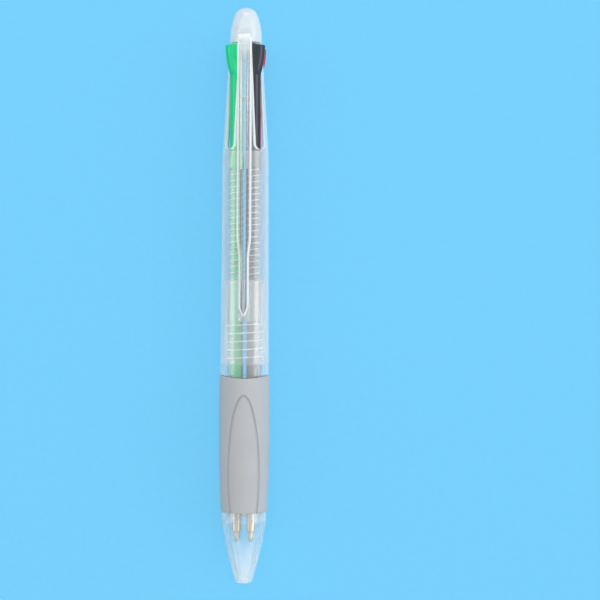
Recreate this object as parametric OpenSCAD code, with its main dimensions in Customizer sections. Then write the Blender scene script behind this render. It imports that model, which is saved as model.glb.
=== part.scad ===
// Multicolor click pen: four sprung sliders push four refills, one at a time, out of one nose.
// Lengths are in millimetres. Pieces are drawn upright, with heights along the pen's axis from
// the nose end and the clip towards -Y, and are then laid down with the clip on top.

/* [Nose cone] */
// Length of the nose cone, from its end to its seam
nose_len = 15.6; // [14:0.1:19]
// Radius of the nose cone and of the ring behind it at their seam
nose_seat_r = 5.6; // [5.4:0.05:6]
// Radius of the slight bow along the nose's flank
nose_bow_r = 100; // [60:5:200]
// Radius of the nose at its end, before the end is rounded
nose_end_r = 2.2; // [2:0.05:2.8]
// Rounding of the nose's end
nose_round_r = 0.9; // [0.4:0.05:0.95]
// Radius of the writing hole
nose_hole_r = 1.25; // [1.2:0.05:1.4]
// Straight length of the writing hole
nose_hole_len = 1.6; // [1:0.1:1.8]
// Distance from the seam down to the funnel that steers the points to the hole
funnel_drop = 3.6; // [2:0.1:5]
// Length of the spigot that plugs into the front barrel
nose_spigot_len = 6; // [3:0.5:12]
// Wall of that spigot
nose_spigot_wall = 0.75; // [0.5:0.05:0.8]

/* [Front barrel] */
// Length of the bare ring between the nose and the grip
ring_len = 2.5; // [1:0.1:6]
// Length of the bare collar between the grip and the seam
collar_len = 2.8; // [1:0.1:6]
// Radius of the tube under the grip
grip_seat_r = 5.2; // [5.1:0.05:5.5]
// Length of the threaded spigot above the seam
thread_len = 10.8; // [6:0.2:14]
// Radial room that the threads fill between spigot and socket
thread_room = 0.2; // [0.1:0.02:0.3]

/* [Grip sleeve] */
// Length of the rubber sleeve
grip_len = 34.3; // [28:0.5:45]
// Greatest thickness of the sleeve
grip_wall = 1.18; // [1:0.02:1.8]
// Radius of the bow along the sleeve
grip_bow_r = 520; // [400:20:1500]
// Distance from the sleeve's upper end to its thickest place
grip_crown_drop = 10.9; // [6:0.5:20]
// Chamfer of the sleeve's rims
grip_rim = 0.35; // [0.1:0.05:0.5]
// Width of the engraved arch at its widest
arch_w = 8.4; // [5:0.2:9]
// Height of the arch above its widest place
arch_rise = 19.8; // [10:0.1:24]
// Distance from the sleeve's upper end to the top of the arch
arch_drop = 4.7; // [2:0.1:8]
// Width of the engraved line
groove_w = 0.7; // [0.3:0.05:1]
// Depth of the engraved line
groove_depth = 0.3; // [0.1:0.05:0.4]

/* [Upper barrel] */
// Length of the barrel, from the seam to the end cap
barrel_len = 80.8; // [78:0.2:86]
// Outer radius at the seam
barrel_foot_r = 6.1; // [6:0.05:6.5]
// Outer radius at the shoulder, above which the barrel narrows faster
barrel_shoulder_r = 5.8; // [5.75:0.05:6]
// Distance from the slots' lower ends down to the shoulder
shoulder_drop = 1; // [0.6:0.1:3]
// Wall of the barrel around the springs
barrel_wall = 0.6; // [0.5:0.05:0.75]
// Wall of the threaded socket
socket_wall = 0.75; // [0.6:0.05:0.9]
// Length of the slots, which are open at the end cap
slot_len = 27; // [26:0.2:27.2]

/* [End cap] */
// Length of the dome
cap_len = 9; // [8.4:0.1:12]
// Radius of the dome and of the barrel's neck under it
cap_r = 4.03; // [3.95:0.01:4.3]
// Straight length at the foot of the dome
cap_skirt = 1; // [0.5:0.1:2]
// Radius of the dome's crown
cap_crown_r = 3.2; // [3:0.05:3.4]
// Wall of the barrel's neck, where the cap's tongues plug in
neck_wall = 0.8; // [0.6:0.05:0.9]
// Length of the tongues that plug into the neck
tongue_len = 4.5; // [2:0.1:8]

/* [Pocket clip] */
// Width of the clip
clip_w = 3.7; // [2.8:0.1:4]
// Width of the clip at its tip
clip_tip_w = 2.65; // [2:0.05:2.8]
// Thickness of the clip
clip_t = 1.1; // [0.8:0.05:1.5]
// Length of the clip below the dome
clip_len = 68.7; // [50:0.5:74]
// Gap under the clip at the seam end of the barrel
clip_gap = 0.9; // [0.5:0.05:2]
// Height of the clip's root on the dome
clip_root_h = 3.2; // [2.5:0.1:4]
// Outer radius of the bend at the root
clip_bend_r = 3.4; // [2.5:0.1:3.8]
// Length over which the clip narrows, with the bump under it
bump_len = 20; // [14:0.5:30]
// Length of the slopes at either end of the bump
bump_slope = 6; // [3:0.5:6.5]
// Gap between the bump and the barrel
bump_gap = 0.1; // [0.05:0.05:0.4]
// Length of the pointed tip
clip_point_len = 3; // [2:0.1:5]

/* [Latch core] */
// Radius of the core above its ledge
core_head_r = 2.6; // [2.3:0.05:2.7]
// Distance from the end cap down to the ledge
ledge_drop = 14; // [13:0.1:15]
// Length of the core below the end cap
core_len = 28.6; // [20:0.2:30]
// Length of the peg that plugs into the dome
core_peg_len = 6.4; // [2:0.1:6.8]
// Step from the core down to that peg
core_peg_step = 0.55; // [0.1:0.05:0.8]

/* [Sliders] */
// Angle of each slider from the clip's plane
slider_fan = 43; // [40:1:50]
// Width of a slider
slider_w = 2.4; // [2:0.05:2.6]
// Length of a slider above its peg
slider_len = 27.2; // [26.5:0.1:27.6]
// Length of the thumb piece
knob_len = 8.1; // [6:0.1:10]
// Reach of the thumb piece from the pen's axis
knob_reach = 6.5; // [6.2:0.05:7]
// Radius of the thumb piece's bow
knob_bow_r = 17; // [15:0.5:30]
// Slope across the top of the thumb piece
knob_top_drop = 0.9; // [0.3:0.1:1.5]
// Length of the peg that holds a refill
peg_len = 3.2; // [2:0.1:4]

/* [Refills] */
// Distance from the nose's seam down to the ends of the resting points
toe_drop = 4.9; // [3:0.1:5.5]
// Diameter of the ink tube
tube_d = 2.7; // [2.4:0.05:2.8]
// Bore of the ink tube
tube_bore_d = 2; // [1.6:0.05:2.2]
// Length of the slim neck that holds the metal point
neck_len = 16; // [10:0.5:20]
// Diameter of that neck
neck_d = 2; // [1.9:0.05:2.2]
// Bore of that neck
neck_bore_d = 1.3; // [1.1:0.05:1.4]
// Length of the taper between neck and tube
neck_taper = 2; // [1:0.1:3]
// Length of the wide head that the spring pushes on
head_len = 4.4; // [3:0.1:6]
// Length of the metal point below the tube
point_len = 11; // [8:0.2:16]
// Diameter of the metal point
point_d = 1.9; // [1.6:0.05:1.95]
// Length of the point's cone
cone_len = 2.9; // [2:0.1:3.5]
// Diameter of the writing ball
ball_d = 0.8; // [0.6:0.05:1]
// Distance of the resting points from the pen's axis
toe_r = 2.4; // [2.2:0.05:2.5]

/* [Springs and guide] */
// Diameter of the spring wire
wire_d = 0.33; // [0.25:0.01:0.36]
// Turns of each spring, and corners drawn in each turn
spring_turns = 18; // [14:1:20]
rings_per_turn = 12; // [12:1:14]
// Radial room between a spring and its ink tube
spring_room = 0.07; // [0.05:0.01:0.15]
// Length of the refill guide
guide_len = 10.3; // [6:0.1:12]
// Chamfer of the guide's upper rim
guide_rim = 0.5; // [0.2:0.05:0.6]

/* [Fits] */
// Radial clearance of pieces that are pressed together
press_gap = 0.02; // [0.01:0.01:0.05]
// Radial clearance of pieces that slide past each other
run_gap = 0.15; // [0.1:0.01:0.18]
// Clearance of an ink tube in its guide hole, on each side
guide_gap = 0.1; // [0.06:0.01:0.12]
// Clearance of a slider in its slot, on each side
slot_gap = 0.13; // [0.08:0.01:0.2]
// Gap between a resting slider and the end cap
stop_gap = 0.1; // [0.05:0.05:0.3]
// Depth by which a pushed slider passes under the ledge
latch_gap = 0.2; // [0.1:0.05:0.4]
// Room between the resting points and the nose's bore
toe_room = 0.4; // [0.2:0.05:0.6]
// Room between the resting ink tubes and the front barrel's bore
front_room = 0.15; // [0.1:0.05:0.3]
// Gap at either end of a spring, and between a refill and its slider
seat_gap = 0.05; // [0.02:0.01:0.1]

/* [Hidden] */
$fn = 64;
bow_fn = 1800;
far = 40;
over = 1;

// Heights along the axis, stacked up from the nose end
ring_z = nose_len;
grip_z = ring_z + ring_len;
collar_z = grip_z + grip_len;
seam_z = collar_z + collar_len;
spigot_z = seam_z + thread_len;
guide_z = spigot_z + guide_len;
cap_z = seam_z + barrel_len;
pen_len = cap_z + cap_len;
slot_z = cap_z - slot_len;
shoulder_z = slot_z - shoulder_drop;
ledge_z = cap_z - ledge_drop;
slider_z = cap_z - stop_gap;
stem_z = slider_z - slider_len;
knob_z = slider_z - knob_len;

// Radii that follow from the pieces around or inside
bore_r = barrel_shoulder_r - barrel_wall;
neck_bore_r = cap_r - neck_wall;
socket_r = barrel_foot_r - socket_wall;
spigot_r = socket_r - thread_room;
grip_r = grip_seat_r + grip_wall;
nose_bore_r = toe_r + point_d / 2 + toe_room;
nose_spigot_r = nose_bore_r + nose_spigot_wall;
nose_socket_r = nose_spigot_r + press_gap;
nose_spigot_z = ring_z + nose_spigot_len;
head_r = tube_d / 2 + spring_room + wire_d;
carrier_r = bore_r - head_r - run_gap;
core_post_r = carrier_r - head_r - run_gap;
core_peg_r = core_head_r - core_peg_step;
tongue_in_r = core_head_r + press_gap;
tongue_out_r = neck_bore_r - press_gap;
guide_r = bore_r - run_gap;
slot_w = slider_w + 2 * slot_gap;
slot_bore_r = bore_r - (bore_r - neck_bore_r) * (shoulder_drop + slot_w / 2) / (shoulder_drop + slot_len);
stem_in = core_head_r + run_gap;
stem_out = sqrt(pow(slot_bore_r - run_gap, 2) - pow(slider_w / 2, 2));
peg_r = tube_bore_d / 2 - press_gap;
clip_in = barrel_foot_r + clip_gap;
clip_out = clip_in + clip_t;
bump_in = barrel_foot_r + bump_gap;

// A slider's travel ends under the ledge. A refill leans in a little at rest, and leans further
// as it is pushed, until it passes through the middle of the writing hole.
travel = slider_z - ledge_z + latch_gap;
refill_len = stem_z - nose_len + toe_drop;
lean = asin((carrier_r - toe_r) / refill_len);
pushed_lean = atan(carrier_r / (stem_z - travel - nose_hole_len / 2));
spring_span = (stem_z - guide_z) / cos(lean) - head_len;

// Directions of the four sliders, as angles about the upright pen
front_at = 270;
back_at = 90;
green_at = front_at - slider_fan;
black_at = front_at + slider_fan;
red_at = back_at - slider_fan;
blue_at = back_at + slider_fan;
all_at = [green_at, black_at, red_at, blue_at];

clear_plastic = [0.86, 0.92, 0.95, 0.45];
grip_grey = [0.71, 0.72, 0.74];
wire_steel = [0.8, 0.81, 0.82];
point_nickel = [0.78, 0.74, 0.66];
ball_carbide = [0.55, 0.56, 0.58];
slider_green = [0.03, 0.72, 0.48];
slider_black = [0.14, 0.16, 0.18];
slider_red = [0.78, 0.13, 0.18];
slider_blue = [0.16, 0.24, 0.68];
tube_green = [0.7, 0.9, 0.77, 0.7];
tube_grey = [0.85, 0.85, 0.86, 0.7];
tube_pink = [0.93, 0.8, 0.82, 0.7];
tube_pale_blue = [0.78, 0.82, 0.93, 0.7];

// Lays the upright pen on its side, with the clip on top and the grip on the table.
module lay() {
    translate([0, -pen_len / 2, grip_r]) rotate([-90, 0, 0]) children();
}

// Stands a profile of (distance from the axis, height) up in the plane of one direction.
module side_plate(at, thick) {
    rotate([0, 0, at]) rotate([90, 0, 0]) linear_extrude(height = thick, center = true) children();
}

// A band of heights, for cutting profiles of (distance from the axis, height).
module band(from, to, width = far) {
    translate([0, from]) square([width, to - from]);
}

// Puts a refill's own axis where it hangs from its slider, pointing up.
module at_refill(at) {
    rotate([0, 0, at]) translate([carrier_r, 0, stem_z]) rotate([0, lean, 0]) children();
}

// The four slots, as bars with a round lower end that begin at the core.
module slot_bars(width, from, to) {
    for (at = all_at) rotate([0, 0, at]) translate([core_post_r, 0, 0]) rotate([90, 0, 90])
        linear_extrude(height = far) {
            translate([0, from + width / 2]) circle(d = width);
            translate([-width / 2, from + width / 2]) square([width, to - from]);
        }
}

// Distance of a refill's axis from the pen's axis at a height, at rest and pushed.
function rest_r(z) = carrier_r - (stem_z - z) * tan(lean);
function pushed_r(z) = carrier_r - (stem_z - travel - z) * tan(pushed_lean);

module upper_barrel() {
    color(clear_plastic) lay() difference() {
        rotate_extrude() polygon([
            [socket_r, seam_z], [barrel_foot_r, seam_z], [barrel_shoulder_r, shoulder_z], [cap_r, cap_z],
            [neck_bore_r, cap_z], [bore_r, shoulder_z], [bore_r, spigot_z], [socket_r, spigot_z]
        ]);
        slot_bars(slot_w, slot_z, cap_z + over);
    }
}

// The dome's flank is an arc that runs on smoothly into the arc of its crown.
cap_flank_h = cap_len - cap_skirt - cap_crown_r;
cap_flank_r = (pow(cap_r, 2) + pow(cap_flank_h, 2) - pow(cap_crown_r, 2)) / (2 * (cap_r - cap_crown_r));
cap_meet_z = cap_z + cap_skirt + cap_flank_r * sin(atan2(cap_flank_h, cap_flank_r - cap_r));

module dome_profile() {
    band(cap_z, cap_z + cap_skirt, cap_r);
    intersection() {
        translate([cap_r - cap_flank_r, cap_z + cap_skirt]) circle(cap_flank_r, $fn = 360);
        band(cap_z + cap_skirt, cap_meet_z);
    }
    intersection() {
        translate([0, pen_len - cap_crown_r]) circle(cap_crown_r, $fn = 180);
        band(pen_len - cap_crown_r, pen_len);
    }
}

// The clip's side view: a root on the dome, a round bend, a strap, and a bump near the tip.
clip_bend_z = cap_z + clip_root_h - clip_bend_r;
clip_tip_z = cap_z - clip_len;

module clip_side() {
    bend_at = clip_out - clip_bend_r;
    intersection() {
        translate([bend_at, clip_bend_z]) difference() {
            circle(clip_bend_r);
            circle(clip_bend_r - clip_t);
        }
        translate([bend_at, clip_bend_z]) square(clip_bend_r);
    }
    translate([core_head_r, clip_bend_z + clip_bend_r - clip_t]) square([bend_at - core_head_r, clip_t]);
    polygon([
        [clip_out, clip_bend_z], [clip_in, clip_bend_z], [clip_in, clip_tip_z + bump_len],
        [bump_in, clip_tip_z + bump_len - bump_slope], [bump_in, clip_tip_z + bump_slope],
        [clip_in, clip_tip_z], [clip_out, clip_tip_z]
    ]);
}

// The clip's front view: a strap that narrows over the bump and ends in a point.
module clip_front() {
    side = clip_w / 2;
    tip = clip_tip_w / 2;
    blunt = clip_tip_w / 6;
    polygon([
        [side, pen_len], [side, clip_tip_z + bump_len], [tip, clip_tip_z + bump_len - bump_slope],
        [tip, clip_tip_z + clip_point_len], [blunt, clip_tip_z], [-blunt, clip_tip_z],
        [-tip, clip_tip_z + clip_point_len], [-tip, clip_tip_z + bump_len - bump_slope],
        [-side, clip_tip_z + bump_len], [-side, pen_len]
    ]);
}

module end_cap() {
    color(clear_plastic) lay() difference() {
        union() {
            rotate_extrude() dome_profile();
            difference() {
                rotate_extrude() translate([tongue_in_r, cap_z - tongue_len])
                    square([tongue_out_r - tongue_in_r, tongue_len + over / 2]);
                slot_bars(slot_w, slot_z, cap_z);
            }
            intersection() {
                side_plate(front_at, clip_w) clip_side();
                rotate([90, 0, 0]) linear_extrude(height = far) clip_front();
            }
        }
        translate([0, 0, cap_z - over])
            cylinder(r = core_peg_r + press_gap, h = core_peg_len + over + stop_gap);
    }
}

module latch_core() {
    color(clear_plastic) lay() rotate_extrude() polygon([
        [0, cap_z - core_len], [core_post_r, cap_z - core_len], [core_post_r, ledge_z],
        [core_head_r, ledge_z], [core_head_r, cap_z], [core_peg_r, cap_z],
        [core_peg_r, cap_z + core_peg_len], [0, cap_z + core_peg_len]
    ]);
}

// Each refill passes through the guide in a slot that leaves it room to lean.
module refill_guide() {
    hole_w = tube_d + 2 * guide_gap;
    inner_r = pushed_r(spigot_z);
    outer_r = rest_r(guide_z);
    color(clear_plastic) lay() difference() {
        rotate_extrude() polygon([
            [0, spigot_z], [guide_r, spigot_z], [guide_r, guide_z - guide_rim],
            [guide_r - guide_rim, guide_z], [0, guide_z]
        ]);
        for (at = all_at) rotate([0, 0, at]) translate([0, 0, spigot_z - over])
            linear_extrude(height = guide_len + 2 * over) {
                translate([inner_r, 0]) circle(d = hole_w);
                translate([outer_r, 0]) circle(d = hole_w);
                translate([inner_r, -hole_w / 2]) square([outer_r - inner_r, hole_w]);
            }
    }
}

module front_barrel() {
    front_bore_r = rest_r(spigot_z) + tube_d / 2 + front_room;
    color(clear_plastic) lay() rotate_extrude() polygon([
        [nose_socket_r, ring_z], [nose_seat_r, ring_z], [nose_seat_r, grip_z], [grip_seat_r, grip_z],
        [grip_seat_r, collar_z], [barrel_foot_r, collar_z], [barrel_foot_r, seam_z], [spigot_r, seam_z],
        [spigot_r, spigot_z], [front_bore_r, spigot_z], [front_bore_r, nose_spigot_z],
        [nose_socket_r, nose_spigot_z]
    ]);
}

// The sleeve's bowed outline, from its lower end to its upper, set in by a depth.
function bow_points(depth, low, high, steps = 6) = [
    for (i = [0:steps])
        let (z = low + (high - low) * i / steps)
            [grip_r - depth - pow(z - collar_z + grip_crown_drop, 2) / (2 * grip_bow_r), z]
];

// An ellipse about the arch's widest place. Its lower part runs out over the sleeve's end.
function arch_points(half_w, rise, steps = 44) = [
    for (i = [0:steps - 1]) [half_w * cos(360 * i / steps), rise * sin(360 * i / steps)]
];

module arch_line() {
    arch_z = collar_z - arch_drop - arch_rise;
    translate([0, arch_z]) difference() {
        polygon(arch_points(arch_w / 2, arch_rise));
        polygon(arch_points(arch_w / 2 - groove_w, arch_rise - groove_w));
    }
}

module grip_sleeve() {
    in_r = grip_seat_r + press_gap;
    bow = bow_points(0, grip_z + grip_rim, collar_z - grip_rim);
    floor_line = bow_points(groove_depth, grip_z - over, collar_z);
    color(grip_grey) lay() difference() {
        rotate_extrude() polygon(concat(
            [[in_r, grip_z], [bow[0][0] - grip_rim, grip_z]], bow,
            [[bow[len(bow) - 1][0] - grip_rim, collar_z], [in_r, collar_z]]
        ));
        for (turn = [0, 180]) rotate([0, 0, turn]) intersection() {
            rotate([90, 0, 0]) linear_extrude(height = far) arch_line();
            rotate_extrude() polygon(concat(floor_line, [[far, collar_z], [far, grip_z - over]]));
        }
    }
}

// The nose's flank is an arc from the seam that runs on smoothly into its rounded end.
nose_seat_at = [nose_seat_r, nose_len];
nose_round_at = [nose_end_r - nose_round_r, nose_round_r];
nose_reach = norm(nose_round_at - nose_seat_at);
nose_along = (nose_round_at - nose_seat_at) / nose_reach;
nose_inner_r = nose_bow_r - nose_round_r;
nose_step = (pow(nose_reach, 2) + pow(nose_bow_r, 2) - pow(nose_inner_r, 2)) / (2 * nose_reach);
nose_side = sqrt(pow(nose_bow_r, 2) - pow(nose_step, 2));
nose_bow_at = nose_seat_at + nose_step * nose_along + nose_side * [nose_along[1], -nose_along[0]];
nose_meet_z = nose_round_r + nose_round_r * (nose_round_at - nose_bow_at)[1] / nose_inner_r;

module nose_profile() {
    intersection() {
        translate(nose_bow_at) circle(nose_bow_r, $fn = bow_fn);
        band(nose_meet_z, nose_len);
    }
    intersection() {
        union() {
            translate(nose_round_at) circle(nose_round_r);
            band(0, nose_len, nose_round_at[0]);
        }
        band(0, nose_meet_z);
    }
}

module nose_cone() {
    funnel_z = nose_len - funnel_drop;
    color(clear_plastic) lay() rotate_extrude() difference() {
        union() {
            nose_profile();
            band(nose_len - over / 2, nose_spigot_z, nose_spigot_r);
        }
        polygon([
            [0, -over], [nose_hole_r, -over], [nose_hole_r, nose_hole_len], [nose_bore_r, funnel_z],
            [nose_bore_r, nose_spigot_z + over], [0, nose_spigot_z + over]
        ]);
    }
}

// A slider is a plate: a bowed thumb piece, a stem that runs in the slot, and a peg for the refill.
module slider(at) {
    crown_z = slider_z - knob_top_drop;
    side_plate(at, slider_w) {
        translate([stem_in, stem_z]) square([stem_out - stem_in, knob_z - stem_z]);
        intersection() {
            translate([knob_reach - knob_bow_r, crown_z]) circle(knob_bow_r, $fn = 360);
            polygon([
                [stem_in, knob_z], [knob_reach, knob_z], [knob_reach, crown_z], [stem_in, slider_z]
            ]);
        }
    }
    at_refill(at) translate([0, 0, -peg_len]) cylinder(r = peg_r, h = peg_len + over / 2);
}

// A spring is one wire: a helix about the refill's axis whose ends stand square on their seats.
spring_r = tube_d / 2 + spring_room + wire_d / 2;
spring_low = seat_gap - head_len - spring_span;
spring_high = -head_len - seat_gap;
spring_steps = rings_per_turn * spring_turns;
ring_turn = 360 / rings_per_turn;
wire_sides = 6;

function on_coil(turn, z) = [spring_r * cos(turn), spring_r * sin(turn), z];
function coil_z(i) = spring_low + wire_d + (spring_high - spring_low - 2 * wire_d) * i / spring_steps;

spring_path = concat(
    [on_coil(0, spring_low)],
    [for (i = [0:spring_steps]) on_coil(ring_turn * i, coil_z(i))],
    [on_coil(ring_turn * spring_steps, spring_high)]
);
path_last = len(spring_path) - 1;

function unit(v) = v / norm(v);
function heading(i) = unit(spring_path[min(i + 1, path_last)] - spring_path[max(i - 1, 0)]);
function outward(i) = unit([spring_path[i][0], spring_path[i][1], 0]);
function across(i) = unit(outward(i) - (outward(i) * heading(i)) * heading(i));
function wire_ring(i) = [
    for (k = [0:wire_sides - 1])
        let (a = 360 * k / wire_sides)
            spring_path[i] + wire_d / 2 * (cos(a) * across(i) + sin(a) * cross(heading(i), across(i)))
];

function ring_point(i, k) = i * wire_sides + k % wire_sides;
wire_faces = concat(
    [for (k = [1:wire_sides - 2]) [0, k, k + 1]],
    [for (i = [0:path_last - 1], k = [0:wire_sides - 1])
        [ring_point(i, k), ring_point(i + 1, k), ring_point(i + 1, k + 1)]],
    [for (i = [0:path_last - 1], k = [0:wire_sides - 1])
        [ring_point(i, k), ring_point(i + 1, k + 1), ring_point(i, k + 1)]],
    [for (k = [1:wire_sides - 2])
        [ring_point(path_last, 0), ring_point(path_last, k + 1), ring_point(path_last, k)]]
);

// Least gap of the wire to itself, over points at least half a turn apart
least_gap = min([
    for (i = [0:path_last], j = [i + rings_per_turn / 2:1:path_last]) norm(spring_path[i] - spring_path[j])
]) - wire_d;
echo(str("least gap between the coils of a spring: ", least_gap, " mm"));
echo(str("travel ", travel, " mm, lean ", lean, " degrees, pushed lean ", pushed_lean, " degrees"));
echo(str("a refill hangs ", carrier_r, " mm from the axis, ", stem_z, " mm above the nose end"));

module spring(at) {
    at_refill(at) polyhedron([for (i = [0:path_last]) each wire_ring(i)], wire_faces, convexity = 10);
}

// A tube has a head under its slider, a straight part for the ink and a slim neck for the point.
module refill_tube(at) {
    neck_z = point_len - refill_len;
    taper_z = neck_z + neck_len;
    body_z = taper_z + neck_taper;
    at_refill(at) rotate_extrude() polygon([
        [neck_bore_d / 2, neck_z], [neck_d / 2, neck_z], [neck_d / 2, taper_z], [tube_d / 2, body_z],
        [tube_d / 2, -head_len], [head_r, -head_len], [head_r, -head_len / 2], [tube_d / 2, -seat_gap],
        [tube_bore_d / 2, -seat_gap], [tube_bore_d / 2, body_z], [neck_bore_d / 2, taper_z]
    ]);
}

// A point has a shank in the tube's neck, a straight body and a cone that holds the ball.
ball_z = ball_d / 2 - refill_len;

module point(at) {
    shank_r = neck_bore_d / 2 - press_gap;
    shank_z = point_len - refill_len;
    at_refill(at) difference() {
        rotate_extrude() polygon([
            [0, ball_z - ball_d / 4], [ball_d / 2, ball_z - ball_d / 4],
            [point_d / 2, cone_len - refill_len], [point_d / 2, shank_z], [shank_r, shank_z],
            [shank_r, shank_z + peg_len], [0, shank_z + peg_len]
        ]);
        translate([0, 0, ball_z]) sphere(ball_d / 2 + press_gap);
    }
}

module ball(at) {
    at_refill(at) translate([0, 0, ball_z]) sphere(d = ball_d);
}

module green_slider() { color(slider_green) lay() slider(green_at); }
module black_slider() { color(slider_black) lay() slider(black_at); }
module red_slider() { color(slider_red) lay() slider(red_at); }
module blue_slider() { color(slider_blue) lay() slider(blue_at); }

module green_spring() { color(wire_steel) lay() spring(green_at); }
module black_spring() { color(wire_steel) lay() spring(black_at); }
module red_spring() { color(wire_steel) lay() spring(red_at); }
module blue_spring() { color(wire_steel) lay() spring(blue_at); }

module green_refill_tube() { color(tube_green) lay() refill_tube(green_at); }
module black_refill_tube() { color(tube_grey) lay() refill_tube(black_at); }
module red_refill_tube() { color(tube_pink) lay() refill_tube(red_at); }
module blue_refill_tube() { color(tube_pale_blue) lay() refill_tube(blue_at); }

module green_point() { color(point_nickel) lay() point(green_at); }
module black_point() { color(point_nickel) lay() point(black_at); }
module red_point() { color(point_nickel) lay() point(red_at); }
module blue_point() { color(point_nickel) lay() point(blue_at); }

module green_ball() { color(ball_carbide) lay() ball(green_at); }
module black_ball() { color(ball_carbide) lay() ball(black_at); }
module red_ball() { color(ball_carbide) lay() ball(red_at); }
module blue_ball() { color(ball_carbide) lay() ball(blue_at); }

upper_barrel();
end_cap();
latch_core();
refill_guide();
front_barrel();
grip_sleeve();
nose_cone();
green_slider();
black_slider();
red_slider();
blue_slider();
green_spring();
black_spring();
red_spring();
blue_spring();
green_refill_tube();
black_refill_tube();
red_refill_tube();
blue_refill_tube();
green_point();
black_point();
red_point();
blue_point();
green_ball();
black_ball();
red_ball();
blue_ball();
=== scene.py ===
import math
import bmesh
import bpy
from mathutils import Matrix, Vector


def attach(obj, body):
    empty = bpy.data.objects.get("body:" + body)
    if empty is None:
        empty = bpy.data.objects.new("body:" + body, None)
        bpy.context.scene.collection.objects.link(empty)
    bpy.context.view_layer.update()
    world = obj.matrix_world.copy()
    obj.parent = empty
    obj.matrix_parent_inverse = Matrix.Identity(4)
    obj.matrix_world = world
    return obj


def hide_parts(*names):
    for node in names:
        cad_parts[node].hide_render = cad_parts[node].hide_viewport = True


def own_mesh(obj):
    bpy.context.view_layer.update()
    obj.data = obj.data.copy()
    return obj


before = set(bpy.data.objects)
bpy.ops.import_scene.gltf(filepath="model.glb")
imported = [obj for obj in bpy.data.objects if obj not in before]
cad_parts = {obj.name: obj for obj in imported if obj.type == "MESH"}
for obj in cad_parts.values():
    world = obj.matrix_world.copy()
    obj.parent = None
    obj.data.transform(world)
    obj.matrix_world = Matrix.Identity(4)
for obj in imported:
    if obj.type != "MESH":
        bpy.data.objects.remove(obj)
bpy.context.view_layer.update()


# Front barrel: a clear tube moulded in one with a ring for the nose, a long seat for the rubber
# grip, a collar, and a spigot whose two-start thread screws into the upper barrel.
# Sizes are in millimetres, as heights from the nose end and distances from the pen's axis.
MM = 0.001
PEN_LENGTH = 145
AXIS_HEIGHT = 6.38
RING_AT = 15.6
GRIP_AT = 18.1
NOSE_SPIGOT_TOP = 21.6
COLLAR_AT = 52.4
SEAM_AT = 55.2
SPIGOT_TOP = 66
RING_R = 5.6
GRIP_SEAT_R = 5.2
FOOT_R = 6.1
SPIGOT_R = 5.15
FRONT_BORE_R = 4.41
NOSE_SOCKET_R = 4.52
THREAD_STEP = 1.025
THREAD_HEIGHT = 0.17
THREAD_END = 0.5
THREAD_FADE = 0.8
THREAD_ROW = 0.08
THREAD_ROWS = 124
CREST_SHARE = 0.055
SOFT_EDGE = 0.15


def on_pen(radius, turn, height, side=0):
    """Point at a distance along a turn about the pen's axis in degrees, a height, and a step aside."""
    a = math.radians(turn)
    across = radius * math.cos(a) - side * math.sin(a)
    down = radius * math.sin(a) + side * math.cos(a)
    return (across * MM, (height - PEN_LENGTH / 2) * MM, (AXIS_HEIGHT - down) * MM)


def pen_place(point):
    """A point's distance from the pen's axis, its turn about it in degrees, and its height."""
    across = point[0] / MM
    down = AXIS_HEIGHT - point[2] / MM
    turn = math.degrees(math.atan2(down, across))
    return math.hypot(across, down), turn, point[1] / MM + PEN_LENGTH / 2


def ease(outline, size, steps=4):
    """A closed outline with its sharp corners rounded off, apart from those on the axis."""
    eased = []
    for i, corner in enumerate(outline):
        here = Vector(corner)
        back = Vector(outline[i - 1]) - here
        ahead = Vector(outline[(i + 1) % len(outline)]) - here
        bend = math.pi - back.angle(ahead, math.pi)
        if corner[0] == 0 or bend < math.radians(20):
            eased.append(tuple(corner))
            continue
        cut = min(size * math.tan(bend / 2), 0.45 * back.length, 0.45 * ahead.length)
        start = here + back.normalized() * cut
        end = here + ahead.normalized() * cut
        for k in range(steps + 1):
            t = k / steps
            eased.append(tuple(start * (1 - t) ** 2 + here * (2 * t * (1 - t)) + end * t ** 2))
    return eased


def turn_outline(outline, sides, place=on_pen, shape=None):
    """Points and faces of a closed outline of (radius, height) swept once round an axis."""
    points = []
    faces = []
    count = len(outline)
    for i in range(sides):
        turn = 360 * i / sides
        for radius, height in outline:
            points.append(place(shape(radius, height, turn) if shape else radius, turn, height))
        ring = i * count
        after = (i + 1) % sides * count
        for k in range(count):
            m = (k + 1) % count
            faces.append((ring + k, ring + m, after + m, after + k))
    return points, faces


def mark_edges(form, crease):
    """Makes a form smooth apart from the edges that bend more than the crease angle."""
    for face in form.faces:
        face.smooth = True
    for edge in form.edges:
        edge.smooth = edge.calc_face_angle(0) < math.radians(crease)


def make_piece(name, points, faces, material, crease=40, finishes=()):
    """A closed mesh piece; finishes are pairs of a further material and the numbers of its faces."""
    form = bmesh.new()
    corners = [form.verts.new(point) for point in points]
    for number, face in enumerate(faces):
        side = form.faces.new([corners[i] for i in face])
        for slot, (finish, owned) in enumerate(finishes, 1):
            if number in owned:
                side.material_index = slot
    bmesh.ops.remove_doubles(form, verts=form.verts, dist=2e-7)
    bmesh.ops.dissolve_degenerate(form, edges=form.edges, dist=1e-8)
    bmesh.ops.recalc_face_normals(form, faces=form.faces)
    mark_edges(form, crease)
    mesh = bpy.data.meshes.new(name)
    form.to_mesh(mesh)
    form.free()
    mesh.materials.append(material)
    for finish, owned in finishes:
        mesh.materials.append(finish)
    piece = bpy.data.objects.new(name, mesh)
    bpy.context.scene.collection.objects.link(piece)
    return piece


def fit(piece, body, slot, *nodes):
    """Sets a piece on its body in place of the solids that it stands for; its finish slot is not used."""
    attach(piece, body)
    if nodes:
        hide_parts(*nodes)


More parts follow.
